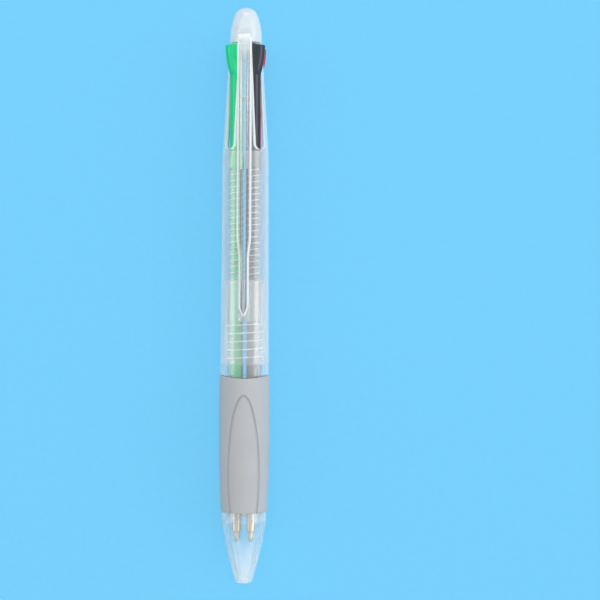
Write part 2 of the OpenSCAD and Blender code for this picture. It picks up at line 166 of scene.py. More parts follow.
def pigment(code):
    """Linear colour of an sRGB hex value."""
    channels = [int(code[i:i + 2], 16) / 255 for i in (0, 2, 4)]
    return [c / 12.92 if c <= 0.04045 else ((c + 0.055) / 1.055) ** 2.4 for c in channels] + [1]


def add_node(tree, kind, inputs, **settings):
    """Adds a node with its settings; inputs are values, or the sockets that feed them."""
    node = tree.nodes.new(kind)
    for name, value in settings.items():
        setattr(node, name, value)
    for name, value in inputs.items():
        if isinstance(value, bpy.types.NodeSocket):
            tree.links.new(value, node.inputs[name])
        else:
            node.inputs[name].default_value = value
    return node


def start_material(name):
    """An empty node material and its tree."""
    material = bpy.data.materials.new(name)
    material.use_nodes = True
    material.node_tree.nodes.clear()
    return material, material.node_tree


# Clear styrene, moulded in a polished mould: glassy, with a faint milk haze that thickens at flat
# angles, and with flow lines a millimetre wide and some centimetres long that draw what lies
# behind it into streaks. Lamps shine through to the pieces inside.
def clear_styrene(name, haze, rim_haze, waviness, foot_haze=None, foot=0, top=PEN_LENGTH,
                  tone="FAFCFD"):
    """Clear plastic: its haze face on, at a flat angle and towards its foot, its waves and tone."""
    material, tree = start_material(name)
    place = add_node(tree, "ShaderNodeTexCoord", {})
    axes = add_node(tree, "ShaderNodeSeparateXYZ", {"Vector": place.outputs["Object"]})
    face_on = add_node(tree, "ShaderNodeMapRange", {
        "Value": axes.outputs["Y"], "From Min": (foot - PEN_LENGTH / 2) * MM,
        "From Max": (top - PEN_LENGTH / 2) * MM, "To Min": 1 - (haze if foot_haze is None else foot_haze),
        "To Max": 1 - haze})
    angle = add_node(tree, "ShaderNodeLayerWeight", {"Blend": 0.6})
    edge_on = add_node(tree, "ShaderNodeMath", {0: angle.outputs["Facing"], 1: 1.5}, operation="POWER")
    rim = add_node(tree, "ShaderNodeMath", {
        0: edge_on.outputs["Value"], 1: -rim_haze, 2: 1}, operation="MULTIPLY_ADD")
    clearness = add_node(tree, "ShaderNodeMath", {
        0: face_on.outputs["Result"], 1: rim.outputs["Value"]}, operation="MULTIPLY")
    drawn = add_node(tree, "ShaderNodeMapping", {
        "Vector": place.outputs["Object"], "Scale": (1 / (1.2 * MM), 1 / (30 * MM), 1 / (1.2 * MM))})
    flow = add_node(tree, "ShaderNodeTexNoise", {
        "Vector": drawn.outputs["Vector"], "Scale": 1, "Detail": 2})
    waves = add_node(tree, "ShaderNodeBump", {
        "Height": flow.outputs["Fac"], "Strength": waviness, "Distance": 0.1 * MM})
    plastic = add_node(tree, "ShaderNodeBsdfPrincipled", {
        "Base Color": pigment(tone), "Roughness": 0.06, "IOR": 1.57,
        "Transmission Weight": clearness.outputs["Value"], "Normal": waves.outputs["Normal"]})
    ray = add_node(tree, "ShaderNodeLightPath", {})
    lamp = add_node(tree, "ShaderNodeBsdfTransparent", {"Color": pigment("FBFDFE")})
    both = add_node(tree, "ShaderNodeMixShader", {
        0: ray.outputs["Is Shadow Ray"], 1: plastic.outputs["BSDF"], 2: lamp.outputs["BSDF"]})
    add_node(tree, "ShaderNodeOutputMaterial", {"Surface": both.outputs["Shader"]})
    return material


def thread_ridge(radius, height, turn):
    """The spigot's radius with its thread, which fades in and out at the ends."""
    fade = min(1, (height - SEAM_AT - THREAD_END) / THREAD_FADE,
               (SPIGOT_TOP - 0.4 - height) / THREAD_FADE)
    if radius != SPIGOT_R or fade <= 0:
        return radius
    phase = height / THREAD_STEP - 2 * turn / 360
    return radius + THREAD_HEIGHT * fade * (0.5 + 0.5 * math.cos(2 * math.pi * phase)) ** 1.5


front_outline = ease([
    (NOSE_SOCKET_R, RING_AT), (RING_R, RING_AT), (RING_R, GRIP_AT), (GRIP_SEAT_R, GRIP_AT),
    (GRIP_SEAT_R, COLLAR_AT), (FOOT_R, COLLAR_AT), (FOOT_R, SEAM_AT), (SPIGOT_R, SEAM_AT),
    (SPIGOT_R, SPIGOT_TOP), (FRONT_BORE_R, SPIGOT_TOP), (FRONT_BORE_R, NOSE_SPIGOT_TOP),
    (NOSE_SOCKET_R, NOSE_SPIGOT_TOP)], SOFT_EDGE)
thread_rows = [(SPIGOT_R, SEAM_AT + THREAD_END + THREAD_ROW * i) for i in range(THREAD_ROWS)]
spigot_foot = max(i for i, (radius, height) in enumerate(front_outline)
                  if abs(radius - SPIGOT_R) < 0.01 and SEAM_AT - 0.01 < height < SEAM_AT + 0.4)
front_outline[spigot_foot + 1:spigot_foot + 1] = thread_rows
front_clear = clear_styrene("clear_styrene_front", haze=0.03, rim_haze=0.85, waviness=0.06)
# Milky white for the thread crests, the slot walls, the core's ledge and the clip's flanks: a painted
# highlight for the bright lines that these clear edges show.
painted_edge_highlight = clear_styrene("clear_styrene_painted_edge_highlight", haze=0.85, rim_haze=0.1, waviness=0.05)
front_points, front_faces = turn_outline(front_outline, sides=128, shape=thread_ridge)
# The thread's crests get the painted edge highlight.
painted_crest_highlights = set()
for number, face in enumerate(front_faces):
    reach, turn, height = pen_place(sum((Vector(front_points[i]) for i in face), Vector()) / 4)
    lead = (height / (2 * THREAD_STEP) - turn / 360) % 1
    raised = reach > SPIGOT_R + 0.04 and SEAM_AT + 0.6 < height < SPIGOT_TOP
    if raised and min(lead, 1 - lead) < CREST_SHARE:
        painted_crest_highlights.add(number)
front_barrel = make_piece("front_barrel_shell", front_points, front_faces, front_clear,
                          finishes=[(painted_edge_highlight, painted_crest_highlights)])
fit(front_barrel, "pen_body", "clear_plastic", "front_barrel")


# Grip sleeve: a bowed rubber tube drawn over the front barrel, with soft rims, and with the line of
# a tall arch pressed into it on the clip's side and on the opposite side.
GRIP_BORE_R = 5.22
GRIP_CROWN_AT = 41.5
GRIP_BOW_R = 520
ARCH_AT = 27.9
ARCH_HALF_W = 4.2
ARCH_RISE = 19.85
ARCH_LINE = 0.7
ARCH_DEPTH = 0.3
ARCH_WALL = 0.45
GRIP_RIM = 0.35
GRIP_EDGE_R = 0.3
GRIP_ROWS = 280
RIM_DIP = 0.7
RIM_DIP_LENGTH = 4


def grip_radius(height):
    """The bowed sleeve's radius at a height."""
    return AXIS_HEIGHT - (height - GRIP_CROWN_AT) ** 2 / (2 * GRIP_BOW_R)


def soft_step(share):
    """A share held between 0 and 1, with a soft start and a soft end."""
    share = min(1, max(0, share))
    return share * share * (3 - 2 * share)


def arch_groove(radius, height, turn):
    """The sleeve's radius, less the pressed line, which has a flat floor and steep soft walls."""
    if radius < grip_radius(height) - 0.05:
        return radius
    across = radius * math.cos(math.radians(turn)) / ARCH_HALF_W
    along = (height - ARCH_AT) / ARCH_RISE
    reach = math.hypot(across, along)
    slope = math.hypot(across / ARCH_HALF_W, along / ARCH_RISE) / max(reach, 1e-6)
    off = ((reach - 1) / max(slope, 1e-6) + ARCH_LINE / 2) / (ARCH_LINE / 2)
    return radius - ARCH_DEPTH * soft_step((1 - abs(off)) / ARCH_WALL)


def dipped(radius, turn, height):
    """Point on the sleeve, whose upper rim dips a little on the clip's side and opposite it."""
    share = max(0, (height - COLLAR_AT + RIM_DIP_LENGTH) / RIM_DIP_LENGTH)
    dip = RIM_DIP * math.sin(math.radians(turn)) ** 2 * share * share
    return on_pen(radius, turn, height - dip)


grip_span = COLLAR_AT - GRIP_AT - 2 * GRIP_RIM
grip_rows = [GRIP_AT + GRIP_RIM + grip_span * i / GRIP_ROWS for i in range(GRIP_ROWS + 1)]
grip_outline = ease(
    [(GRIP_BORE_R, GRIP_AT), (grip_radius(GRIP_AT), GRIP_AT)]
    + [(grip_radius(h), h) for h in grip_rows]
    + [(grip_radius(COLLAR_AT), COLLAR_AT), (GRIP_BORE_R, COLLAR_AT)], GRIP_EDGE_R)

# Moulded soft rubber: dull, with a fine even tooth a third of a millimetre wide, drawn a little
# coarser than the real one so that it shows, and faint cloudiness along its length. The pressed
# line is painted a shade darker than the skin around it, as painted shade in its hollow.
rubber, rubber_tree = start_material("moulded_soft_rubber")
rubber_place = add_node(rubber_tree, "ShaderNodeTexCoord", {})
rubber_tooth = add_node(rubber_tree, "ShaderNodeTexNoise", {
    "Vector": rubber_place.outputs["Object"], "Scale": 1 / (0.35 * MM), "Detail": 3})
rubber_cloud = add_node(rubber_tree, "ShaderNodeTexNoise", {
    "Vector": rubber_place.outputs["Object"], "Scale": 1 / (9 * MM), "Detail": 2})
rubber_shade = add_node(rubber_tree, "ShaderNodeValToRGB", {"Fac": rubber_cloud.outputs["Fac"]})
rubber_shade.color_ramp.elements[0].color = pigment("BBBDC0")
rubber_shade.color_ramp.elements[1].color = pigment("C6C8CB")
rubber_crown = add_node(rubber_tree, "ShaderNodeMapping", {
    "Vector": rubber_place.outputs["Object"],
    "Location": (0, (PEN_LENGTH / 2 - GRIP_CROWN_AT) * MM, -AXIS_HEIGHT * MM)})
rubber_round = add_node(rubber_tree, "ShaderNodeVectorMath", {
    0: rubber_crown.outputs["Vector"], 1: (1, 0, 1)}, operation="MULTIPLY")
rubber_reach = add_node(rubber_tree, "ShaderNodeVectorMath", {
    0: rubber_round.outputs["Vector"]}, operation="LENGTH")
rubber_along = add_node(rubber_tree, "ShaderNodeSeparateXYZ", {"Vector": rubber_crown.outputs["Vector"]})
rubber_square = add_node(rubber_tree, "ShaderNodeMath", {
    0: rubber_along.outputs["Y"], 1: rubber_along.outputs["Y"]}, operation="MULTIPLY")
rubber_bowed = add_node(rubber_tree, "ShaderNodeMath", {
    0: rubber_square.outputs["Value"], 1: 1 / (2 * GRIP_BOW_R * MM), 2: rubber_reach.outputs["Value"]},
    operation="MULTIPLY_ADD")
# Mask of the pressed line, found by its depth below the bowed skin; there the grey is painted darker, as
# painted shade.
rubber_groove_painted_shade = add_node(rubber_tree, "ShaderNodeMapRange", {
    "Value": rubber_bowed.outputs["Value"], "From Min": (AXIS_HEIGHT - 0.2 * ARCH_DEPTH) * MM,
    "From Max": (AXIS_HEIGHT - 0.8 * ARCH_DEPTH) * MM})
rubber_cloud_and_painted_shade = add_node(rubber_tree, "ShaderNodeMix", {
    0: rubber_groove_painted_shade.outputs["Result"], 6: rubber_shade.outputs["Color"], 7: pigment("B6B8BB")},
    data_type="RGBA")
rubber_grain = add_node(rubber_tree, "ShaderNodeBump", {
    "Height": rubber_tooth.outputs["Fac"], "Strength": 0.25, "Distance": 0.05 * MM})
rubber_skin = add_node(rubber_tree, "ShaderNodeBsdfPrincipled", {
    "Base Color": rubber_cloud_and_painted_shade.outputs[2], "Roughness": 0.72, "IOR": 1.5, "Specular IOR Level": 0.35,
    "Sheen Weight": 0.1, "Sheen Roughness": 0.5, "Normal": rubber_grain.outputs["Normal"]})
add_node(rubber_tree, "ShaderNodeOutputMaterial", {"Surface": rubber_skin.outputs["BSDF"]})

grip_points, grip_faces = turn_outline(grip_outline, sides=480, place=dipped, shape=arch_groove)
grip_sleeve = make_piece("grip_rubber_sleeve", grip_points, grip_faces, rubber)
fit(grip_sleeve, "pen_body", "grip_rubber", "grip_sleeve")


# Nose cone: a clear bowed cone that plugs into the front barrel with a spigot. Inside, a funnel
# with soft flutes steers the points to the writing hole.
NOSE_BOW_R = 100
NOSE_END_R = 2.2
NOSE_ROUND_R = 0.9
NOSE_HOLE_R = 1.25
NOSE_BORE_R = 3.75
NOSE_SPIGOT_R = 4.5
FUNNEL_FOOT = 1.6
FUNNEL_TOP = 12
FLUTES = 12
FLUTE_DEPTH = 0.1


def nose_flank(steps):
    """The outer outline from the seam to the end: a slight bow that runs into the round of the end."""
    seat = Vector((RING_R, RING_AT))
    turn_in = Vector((NOSE_END_R - NOSE_ROUND_R, NOSE_ROUND_R))
    reach = (turn_in - seat).length
    along = (turn_in - seat) / reach
    inner = NOSE_BOW_R - NOSE_ROUND_R
    step = (reach ** 2 + NOSE_BOW_R ** 2 - inner ** 2) / (2 * reach)
    middle = seat + along * step + Vector((along.y, -along.x)) * math.sqrt(NOSE_BOW_R ** 2 - step ** 2)
    first = math.atan2(seat.y - middle.y, seat.x - middle.x)
    meet = math.atan2(turn_in.y - middle.y, turn_in.x - middle.x)
    flank = []
    for i in range(steps + 1):
        a = first + (meet - first) * i / steps
        flank.append((middle.x + NOSE_BOW_R * math.cos(a), middle.y + NOSE_BOW_R * math.sin(a)))
    for i in range(1, 11):
        a = meet + (-math.pi / 2 - meet) * i / 10
        flank.append((turn_in.x + NOSE_ROUND_R * math.cos(a), turn_in.y + NOSE_ROUND_R * math.sin(a)))
    return flank


def funnel_flute(radius, height, turn):
    """The funnel's radius with its flutes, which die out at both ends."""
    share = (height - FUNNEL_FOOT) / (FUNNEL_TOP - FUNNEL_FOOT)
    wall = NOSE_HOLE_R + (NOSE_BORE_R - NOSE_HOLE_R) * share
    if not 0 < share < 1 or abs(radius - wall) > 0.01:
        return radius
    swell = 0.5 - 0.5 * math.cos(math.radians(FLUTES * turn))
    return radius + FLUTE_DEPTH * math.sin(math.pi * share) * swell


funnel_rows = []
for i in range(1, 24):
    share = i / 24
    funnel_rows.append((NOSE_HOLE_R + (NOSE_BORE_R - NOSE_HOLE_R) * share,
                        FUNNEL_FOOT + (FUNNEL_TOP - FUNNEL_FOOT) * share))
nose_outline = ease(
    nose_flank(24) + [(NOSE_HOLE_R, 0), (NOSE_HOLE_R, FUNNEL_FOOT)] + funnel_rows
    + [(NOSE_BORE_R, FUNNEL_TOP), (NOSE_BORE_R, NOSE_SPIGOT_TOP), (NOSE_SPIGOT_R, NOSE_SPIGOT_TOP),
       (NOSE_SPIGOT_R, RING_AT)], SOFT_EDGE)
nose_clear = clear_styrene("clear_styrene_nose", haze=0.03, rim_haze=0.6, waviness=0.08,
                           foot_haze=0.24, foot=1, top=11)
nose_points, nose_faces = turn_outline(nose_outline, sides=144, shape=funnel_flute)
nose_cone = make_piece("nose_cone_shell", nose_points, nose_faces, nose_clear)
fit(nose_cone, "pen_body", "clear_plastic", "nose_cone")


# Upper barrel: a thin clear tube that narrows towards the end cap, with a threaded socket at its
# foot and four slots, open at the top, in which the sliders run. Its edges are softly broken.
SOCKET_R = 5.35
SHOULDER_AT = 108
SHOULDER_R = 5.8
BARREL_BORE_R = 5.2
CAP_AT = 136
CAP_R = 4.03
NECK_BORE_R = 3.23
FOOT_BREAK = 0.18
BODY_FOOT = 0.3
BODY_SPAN = 52.2
BODY_TAPER_SPAN = 50.6
BORE_STEP = 8
SLOT_AT = 109
SLOT_W = 2.66
CLIP_TURN = 270
COLOUR_TURNS = {"green": 227, "black": 313, "red": 47, "blue": 133}


def slot_half(height):
    """Half the width of a slot at a height, with a round lower end."""
    r = SLOT_W / 2
    rise = height - SLOT_AT
    if rise <= 0:
        return 0
    return r if rise >= r else math.sqrt(r * r - (r - rise) ** 2)


def barrel_shell(name, material):
    """The barrel as four staves that part at the slots and share their edges below them."""
    slot_rows = [SLOT_AT + SLOT_W / 2 * (1 - math.cos(math.radians(90 * i / 10))) for i in range(11)]
    slot_rows += [SLOT_AT + SLOT_W / 2 + (CAP_AT - SLOT_AT - SLOT_W / 2) * i / 16 for i in range(1, 17)]
    taper = (CAP_R - SHOULDER_R) / (CAP_AT - SHOULDER_AT)
    bore_taper = (NECK_BORE_R - BARREL_BORE_R) / (CAP_AT - SHOULDER_AT)
    rise = (SHOULDER_R - FOOT_R) / (SHOULDER_AT - SEAM_AT)
    outer = [(FOOT_R - FOOT_BREAK, SEAM_AT), (FOOT_R - 0.05, SEAM_AT + 0.05),
             (FOOT_R, SEAM_AT + FOOT_BREAK)]
    for i in range(21):
        outer.append((FOOT_R + rise * BODY_TAPER_SPAN * i / 20, SEAM_AT + BODY_FOOT + BODY_SPAN * i / 20))
    outer += [(SHOULDER_R + taper * 0.05, SHOULDER_AT), (SHOULDER_R + taper * 0.4, SHOULDER_AT + 0.4)]
    outer += [(SHOULDER_R + taper * (h - SHOULDER_AT), h) for h in slot_rows]
    inner = [(BARREL_BORE_R + bore_taper * (h - SHOULDER_AT), h) for h in reversed(slot_rows)]
    inner += [(BARREL_BORE_R + bore_taper * 0.4, SHOULDER_AT + 0.4), (BARREL_BORE_R, SHOULDER_AT - 0.2)]
    inner += [(BARREL_BORE_R, SPIGOT_TOP + BORE_STEP * i) for i in reversed(range(5))]
    inner += [(SOCKET_R, SPIGOT_TOP), (SOCKET_R, SEAM_AT + 0.15), (SOCKET_R + 0.1, SEAM_AT)]
    loop = outer + inner
    first = len(outer) - len(slot_rows)
    last = len(outer) + len(slot_rows) - 1
    turns = sorted(COLOUR_TURNS.values())
    points = []
    faces = []
    # The slot walls get the painted edge highlight.
    painted_slot_highlights = set()
    columns = 28
    for i, turn in enumerate(turns):
        after = turns[(i + 1) % 4] + (360 if i == 3 else 0)
        base = len(points)
        for k in range(columns + 1):
            for radius, height in loop:
                edge = math.degrees(math.asin(slot_half(height) / radius))
                points.append(on_pen(radius, turn + edge + (after - turn - 2 * edge) * k / columns, height))
        count = len(loop)
        for k in range(columns):
            for m in range(count):
                n = (m + 1) % count
                if k in (0, 1, columns - 2, columns - 1) and first <= m < last:
                    painted_slot_highlights.add(len(faces))
                faces.append((base + k * count + m, base + k * count + n,
                              base + (k + 1) * count + n, base + (k + 1) * count + m))
        for side in (0, columns):
            start = base + side * count
            for m in range(len(slot_rows) - 1):
                painted_slot_highlights.add(len(faces))
                faces.append((start + first + m, start + first + m + 1,
                              start + last - m - 1, start + last - m))
    return make_piece(name, points, faces, material, finishes=[(painted_edge_highlight, painted_slot_highlights)])


def break_edges(piece, width, angle=50, segments=2):
    """Rounds a piece's sharp edges and keeps its flat faces flat to the eye."""
    bevel = piece.modifiers.new("broken_edges", "BEVEL")
    bevel.width = width * MM
    bevel.segments = segments
    bevel.limit_method = "ANGLE"
    bevel.angle_limit = math.radians(angle)
    flat = piece.modifiers.new("flat_faces", "WEIGHTED_NORMAL")
    flat.keep_sharp = True


barrel_clear = clear_styrene("clear_styrene_barrel", haze=0.05, rim_haze=1, waviness=0.08,
                             foot_haze=0.03, foot=104, top=112)
upper_barrel = barrel_shell("upper_barrel_shell", barrel_clear)
break_edges(upper_barrel, width=0.1)
fit(upper_barrel, "pen_body", "clear_plastic", "upper_barrel")


# Refill guide: a clear plug in the middle of the barrel. Each refill runs through it in a slot that
# leaves it room to lean, and the springs stand on its upper face.
GUIDE_TOP = 76.3
GUIDE_R = 5.05
GUIDE_CHAMFER = 0.5
GUIDE_HOLE_W = 2.9
GUIDE_HOLE_IN = 2.29
GUIDE_HOLE_OUT = 3.003


def combine(piece, tools, operation):
    """Cuts tool pieces out of a piece, or joins them to it, for good, and takes the tools away."""
    for tool in tools:
        step = piece.modifiers.new("step", "BOOLEAN")
        step.operation = operation
        step.solver = "EXACT"
        step.material_mode = "TRANSFER"
        step.object = tool
    settle(piece)
    for tool in tools:
        bpy.data.objects.remove(tool)


def settle(piece, crease=40):
    """Makes a piece's modifiers part of its mesh, and marks its sharp edges again."""
    bpy.context.view_layer.update()
    ready = piece.evaluated_get(bpy.context.evaluated_depsgraph_get())
    form = bmesh.new()
    made = ready.to_mesh()
    form.from_mesh(made)
    finishes = [material.original for material in made.materials]
    ready.to_mesh_clear()
    piece.modifiers.clear()
    piece.data.materials.clear()
    for finish in finishes:
        piece.data.materials.append(finish)
    bmesh.ops.remove_doubles(form, verts=form.verts, dist=2e-7)
    mark_edges(form, crease)
    form.to_mesh(piece.data)
    form.free()


def loft_faces(rows, count):
    """Faces of a closed form through rows of as many points, with one face over each end."""
    faces = [tuple(range(count)), tuple((rows - 1) * count + k for k in reversed(range(count)))]
    for i in range(rows - 1):
        for k in range(count):
            m = (k + 1) % count
            faces.append((i * count + k, i * count + m, (i + 1) * count + m, (i + 1) * count + k))
    return faces


def slot_tools(name, outline, low, high, material):
    """Four like prisms between two heights, one on each slider's side of the pen."""
    tools = []
    for turn in COLOUR_TURNS.values():
        points = [on_pen(out, turn, height, side) for height in (low, high) for out, side in outline]
        tools.append(make_piece(name, points, loft_faces(2, len(outline)), material))
    return tools


guide_clear = clear_styrene("clear_styrene_guide", haze=0.12, rim_haze=0.5, waviness=0.1)
guide_outline = ease([(0, SPIGOT_TOP), (GUIDE_R, SPIGOT_TOP), (GUIDE_R, GUIDE_TOP - GUIDE_CHAMFER),
                      (GUIDE_R - GUIDE_CHAMFER, GUIDE_TOP), (0, GUIDE_TOP)], SOFT_EDGE)
refill_guide = make_piece("refill_guide_plug", *turn_outline(guide_outline, sides=128), guide_clear)
stadium = []
for centre, start in ((GUIDE_HOLE_OUT, -90), (GUIDE_HOLE_IN, 90)):
    for i in range(25):
        a = math.radians(start + 180 * i / 24)
        stadium.append((centre + GUIDE_HOLE_W / 2 * math.cos(a), GUIDE_HOLE_W / 2 * math.sin(a)))
guide_holes = slot_tools("guide_hole", stadium, SPIGOT_TOP - 1, GUIDE_TOP + 1, guide_clear)
combine(refill_guide, guide_holes, "DIFFERENCE")
break_edges(refill_guide, width=0.08)
fit(refill_guide, "pen_body", "clear_plastic", "refill_guide")


# Sliders: four coloured plates, each with a bowed thumb piece outside its slot, a stem that runs
# down inside the barrel, and a peg on which its refill is plugged.
SLIDER_W = 2.4
STEM_IN = 2.75
STEM_OUT = 4.74
STEM_AT = 108.7
KNOB_AT = 127.8
SLIDER_TOP = 135.9
KNOB_REACH = 6.5
KNOB_BOW_R = 17
KNOB_CROWN_AT = 135
BACK_ROUND_R = 2.2
EDGE_ROUND_R = 0.45
PEG_R = 0.98
PEG_FOOT_R = 0.86
PEG_LENGTH = 3.2
PEG_SUNK = 0.3
CARRIER_R = 3.3
REFILL_LEAN = 0.526193
SLIDER_COLOURS = {"green": "00E595", "black": "31363E", "red": "DC243E", "blue": "2B48C0"}


def on_refill(turn):
    """A function that places points round one refill's own axis, which leans in towards the nose."""
    lean = math.radians(REFILL_LEAN)

    def place(radius, about, height):
        x = radius * math.cos(math.radians(about))
        side = radius * math.sin(math.radians(about))
        z = height - STEM_AT
        out = CARRIER_R + x * math.cos(lean) + z * math.sin(lean)
        return on_pen(out, turn, STEM_AT - x * math.sin(lean) + z * math.cos(lean), side)

    return place


# Moulded ABS, coloured through: a bright even gloss over a very slight orange peel, half a
# millimetre across, with the colour painted a little darker in the hollows as painted shade.
def moulded_abs(name, code):
    material, tree = start_material(name)
    place = add_node(tree, "ShaderNodeTexCoord", {})
    peel = add_node(tree, "ShaderNodeTexNoise", {
        "Vector": place.outputs["Object"], "Scale": 1 / (0.5 * MM), "Detail": 2})
    # Painted shade: the colour is darker where the peel dips.
    shade = add_node(tree, "ShaderNodeValToRGB", {"Fac": peel.outputs["Fac"]})
    shade.color_ramp.elements[0].color = [0.88 * c for c in pigment(code)[:3]] + [1]
    shade.color_ramp.elements[1].color = pigment(code)
    skin = add_node(tree, "ShaderNodeBump", {
        "Height": peel.outputs["Fac"], "Strength": 0.1, "Distance": 0.02 * MM})
    plastic = add_node(tree, "ShaderNodeBsdfPrincipled", {
        "Base Color": shade.outputs["Color"], "Roughness": 0.17, "IOR": 1.53,
        "Subsurface Weight": 0.1, "Subsurface Radius": (1, 1, 1), "Subsurface Scale": 0.4 * MM,
        "Normal": skin.outputs["Normal"]})
    add_node(tree, "ShaderNodeOutputMaterial", {"Surface": plastic.outputs["BSDF"]})
    return material


knob_bow = []
for i in range(17):
    height = KNOB_AT + (KNOB_CROWN_AT - KNOB_AT) * i / 16
    drop = height - KNOB_CROWN_AT
    knob_bow.append((KNOB_REACH - KNOB_BOW_R + math.sqrt(KNOB_BOW_R ** 2 - drop ** 2), height))
slider_outline = ease([(STEM_IN, STEM_AT), (STEM_OUT, STEM_AT), (STEM_OUT, KNOB_AT)] + knob_bow
                      + [(STEM_IN, SLIDER_TOP)], size=0.4, steps=6)


def slider_plate(name, turn, material):
    """The plate as slices from side to side; its back is crowned and its edges are round."""
    points = []
    slices = 24
    for i in range(slices + 1):
        side = -SLIDER_W / 2 * math.cos(math.pi * i / slices)
        over = max(0, abs(side) - SLIDER_W / 2 + EDGE_ROUND_R)
        fall = EDGE_ROUND_R - math.sqrt(max(0, EDGE_ROUND_R ** 2 - over ** 2))
        fall += BACK_ROUND_R - math.sqrt(BACK_ROUND_R ** 2 - side ** 2)
        for radius, height in slider_outline:
            share = min(1, (radius - STEM_IN) / (STEM_OUT - STEM_IN))
            points.append(on_pen(radius - fall * share, turn, height, side))
    return make_piece(name, points, loft_faces(slices + 1, len(slider_outline)), material)


for colour, turn in COLOUR_TURNS.items():
    plastic = moulded_abs(colour + "_moulded_abs", SLIDER_COLOURS[colour])
    slider = slider_plate(colour + "_slider_plate", turn, plastic)
    fit(slider, colour + "_button", colour + "_plastic", colour + "_slider")
    peg_outline = ease([(0, STEM_AT + PEG_SUNK), (0, STEM_AT - PEG_LENGTH),
                        (PEG_FOOT_R, STEM_AT - PEG_LENGTH), (PEG_R, STEM_AT + PEG_SUNK)], size=0.2)
    peg_points, peg_faces = turn_outline(peg_outline, sides=32, place=on_refill(turn))
    peg = make_piece(colour + "_slider_peg", peg_points, peg_faces, plastic)
    fit(peg, colour + "_button", colour + "_plastic")


# Refills: an ink tube with a thick head that is plugged on the slider's peg, a slim neck, and a
# column of ink inside. The tubes are extruded, and tinted like their ink.
TUBE_R = 1.35
TUBE_BORE_R = 1
NECK_R = 1
SLIM_BORE_R = 0.65
NECK_FOOT = 21.7
NECK_TOP = 37.7
TUBE_FOOT = 39.7
HEAD_AT = 104.3
HEAD_R = 1.75
INK_TOP = 98
INK_FOOT = 25
INK_ROOM = 0.02
TUBE_COLOURS = {"green": "8CEFB6", "black": "A8A6A9", "red": "F4A6B2", "blue": "A6B6F0"}
INK_COLOURS = {"green": "1CC486", "black": "6A686E", "red": "D2253C", "blue": "2C49BE"}


# Extruded polypropylene, tinted: a soft waxy translucence, with faint draw lines along the tube
# that are spaced a third of a millimetre apart.
def tinted_polypropylene(name, code):
    material, tree = start_material(name)
    place = add_node(tree, "ShaderNodeTexCoord", {})
    drawn = add_node(tree, "ShaderNodeMapping", {
        "Vector": place.outputs["Object"], "Scale": (1 / (0.35 * MM), 1 / (20 * MM), 1 / (0.35 * MM))})
    lines = add_node(tree, "ShaderNodeTexNoise", {
        "Vector": drawn.outputs["Vector"], "Scale": 1, "Detail": 2})
    shade = add_node(tree, "ShaderNodeValToRGB", {"Fac": lines.outputs["Fac"]})
    shade.color_ramp.elements[0].color = [0.9 * c for c in pigment(code)[:3]] + [1]
    shade.color_ramp.elements[1].color = pigment(code)
    skin = add_node(tree, "ShaderNodeBump", {
        "Height": lines.outputs["Fac"], "Strength": 0.1, "Distance": 0.02 * MM})
    plastic = add_node(tree, "ShaderNodeBsdfPrincipled", {
        "Base Color": shade.outputs["Color"], "Roughness": 0.3, "IOR": 1.49, "Transmission Weight": 0.15,
        "Normal": skin.outputs["Normal"]})
    add_node(tree, "ShaderNodeOutputMaterial", {"Surface": plastic.outputs["BSDF"]})
    return material


# Writing ink in its tube: wet and dark, with slow clouds a few millimetres long.
def writing_ink(name, code):
    material, tree = start_material(name)
    place = add_node(tree, "ShaderNodeTexCoord", {})
    cloud = add_node(tree, "ShaderNodeTexNoise", {
        "Vector": place.outputs["Object"], "Scale": 1 / (3 * MM), "Detail": 2})
    shade = add_node(tree, "ShaderNodeValToRGB", {"Fac": cloud.outputs["Fac"]})
    shade.color_ramp.elements[0].color = [0.8 * c for c in pigment(code)[:3]] + [1]
    shade.color_ramp.elements[1].color = pigment(code)
    ink = add_node(tree, "ShaderNodeBsdfPrincipled", {
        "Base Color": shade.outputs["Color"], "Roughness": 0.15, "IOR": 1.4})
    add_node(tree, "ShaderNodeOutputMaterial", {"Surface": ink.outputs["BSDF"]})
    return material


tube_outline = ease([
    (SLIM_BORE_R, NECK_FOOT), (NECK_R, NECK_FOOT), (NECK_R, NECK_TOP), (TUBE_R, TUBE_FOOT),
    (TUBE_R, HEAD_AT), (HEAD_R, HEAD_AT), (HEAD_R, HEAD_AT + 2.2), (TUBE_R, STEM_AT - 0.05),
    (TUBE_BORE_R, STEM_AT - 0.05), (TUBE_BORE_R, TUBE_FOOT), (SLIM_BORE_R, NECK_TOP)], size=0.12)
ink_outline = ease([
    (0, INK_FOOT), (SLIM_BORE_R - INK_ROOM, INK_FOOT), (SLIM_BORE_R - INK_ROOM, NECK_TOP),
    (TUBE_BORE_R - INK_ROOM, TUBE_FOOT), (TUBE_BORE_R - INK_ROOM, INK_TOP), (0.5, INK_TOP - 0.5),
    (0, INK_TOP - 0.6)], size=0.1)
for colour, turn in COLOUR_TURNS.items():
    place = on_refill(turn)
    waxy = tinted_polypropylene(colour + "_tinted_polypropylene", TUBE_COLOURS[colour])
    tube = make_piece(colour + "_ink_tube", *turn_outline(tube_outline, sides=48, place=place), waxy)
    fit(tube, colour + "_refill", colour + "_tube", colour + "_refill_tube")
    wet = writing_ink(colour + "_writing_ink", INK_COLOURS[colour])
    ink = make_piece(colour + "_ink_column", *turn_outline(ink_outline, sides=32, place=place), wet)
    fit(ink, colour + "_refill", colour + "_tube")


# Points: turned metal tips pressed into the tubes' necks, each with a shallow groove, a long straight
# body, a cone, and a lip rolled over the writing ball.
POINT_FOOT = 10.7
POINT_R = 0.95
RECESS_DEPTH = 0.08
PLUG_R = 0.63
PLUG_LENGTH = 3.2
BALL_R = 0.4
BALL_AT = POINT_FOOT + BALL_R

